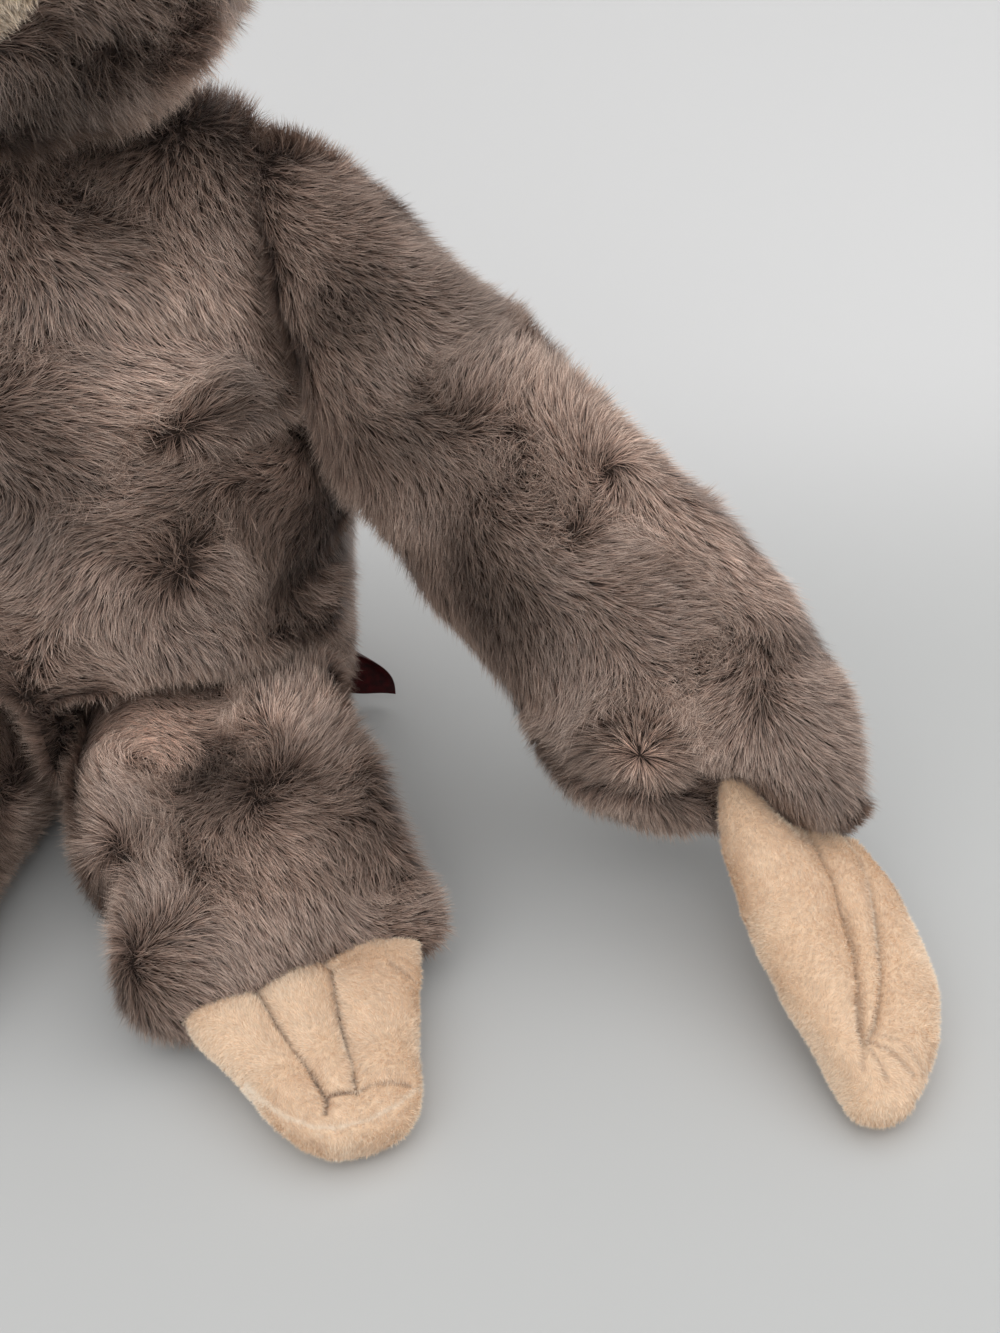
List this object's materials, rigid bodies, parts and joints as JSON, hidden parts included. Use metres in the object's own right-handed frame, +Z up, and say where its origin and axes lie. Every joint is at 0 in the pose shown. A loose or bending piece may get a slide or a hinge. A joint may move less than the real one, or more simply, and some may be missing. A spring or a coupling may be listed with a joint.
{
  "type": "plush sloth",
  "caption": "Seated plush sloth with long-pile covers over fibre filling, limbs that end in three-clawed mitts, and sewn seams that bend.",
  "frame": {"origin": "on the ground under the middle of the seat", "axes": "+Z up, the toy looks along -Y, +X is the toy's left side"},
  "size_m": [0.5224, 0.2765, 0.3553],
  "materials": {
    "plush": "long brown pile",
    "fibre": "loose polyester fibre",
    "linen": "plain woven bag of plastic pellets",
    "satin": "plain dark red satin",
    "cream": "short pale pile",
    "dark": "short dark brown pile",
    "minky": "short beige pile",
    "eye_plastic": "polished black",
    "washer_plastic": "milky moulded"
  },
  "bodies": {
    "torso": {"torso_cover": "plush", "torso_filling": "fibre", "pellet_bag": "linen", "side_label": "satin"},
    "head": {"head_cover": "plush", "head_filling": "fibre", "face_panel": "cream", "eye_patch_left": "dark", "eye_patch_right": "dark", "eye_left": "eye_plastic", "eye_right": "eye_plastic", "eye_washer_left": "washer_plastic", "eye_washer_right": "washer_plastic", "muzzle": "cream", "nose": "dark"},
    "arm_left": {"arm_left_cover": "plush", "arm_left_filling": "fibre"},
    "hand_left": {"hand_left_cover": "minky", "hand_left_filling": "fibre"},
    "leg_left": {"leg_left_cover": "plush", "leg_left_filling": "fibre"},
    "foot_left": {"foot_left_cover": "minky", "foot_left_filling": "fibre"},
    "arm_right": {"arm_right_cover": "plush", "arm_right_filling": "fibre"},
    "hand_right": {"hand_right_cover": "minky", "hand_right_filling": "fibre"},
    "leg_right": {"leg_right_cover": "plush", "leg_right_filling": "fibre"},
    "foot_right": {"foot_right_cover": "minky", "foot_right_filling": "fibre"}
  },
  "joints": [
    {"name": "neck_nod", "type": "hinge", "parent": "torso", "child": "head", "pos_m": [0, -0.006, 0.205], "axis": [1, 0, 0], "range_deg": [-22, 10]},
    {"name": "shoulder_left", "type": "hinge", "parent": "torso", "child": "arm_left", "pos_m": [0.0815, -0.007, 0.184], "axis": [-0.9781, 0, -0.2079], "range_deg": [-25, 90]},
    {"name": "wrist_left", "type": "hinge", "parent": "arm_left", "child": "hand_left", "pos_m": [0.2279, -0.1176, 0.0389], "axis": [0.9344, -0.0409, -0.3539], "range_deg": [-25, 30]},
    {"name": "hip_left", "type": "hinge", "parent": "torso", "child": "leg_left", "pos_m": [0.0505, -0.05, 0.0346], "axis": [-1, 0, 0], "range_deg": [-30, 15]},
    {"name": "ankle_left", "type": "hinge", "parent": "leg_left", "child": "foot_left", "pos_m": [0.0785, -0.1471, 0.019], "axis": [0.959, 0.2833, 0], "range_deg": [-15, 15]},
    {"name": "shoulder_right", "type": "hinge", "parent": "torso", "child": "arm_right", "pos_m": [-0.0815, -0.007, 0.184], "axis": [-0.9781, 0, 0.2079], "range_deg": [-25, 90]},
    {"name": "wrist_right", "type": "hinge", "parent": "arm_right", "child": "hand_right", "pos_m": [-0.2279, -0.1176, 0.0389], "axis": [0.9344, 0.0409, 0.3539], "range_deg": [-25, 30]},
    {"name": "hip_right", "type": "hinge", "parent": "torso", "child": "leg_right", "pos_m": [-0.0505, -0.05, 0.0346], "axis": [-1, 0, 0], "range_deg": [-30, 15]},
    {"name": "ankle_right", "type": "hinge", "parent": "leg_right", "child": "foot_right", "pos_m": [-0.0785, -0.1471, 0.019], "axis": [0.959, -0.2833, 0], "range_deg": [-15, 15]}
  ]
}
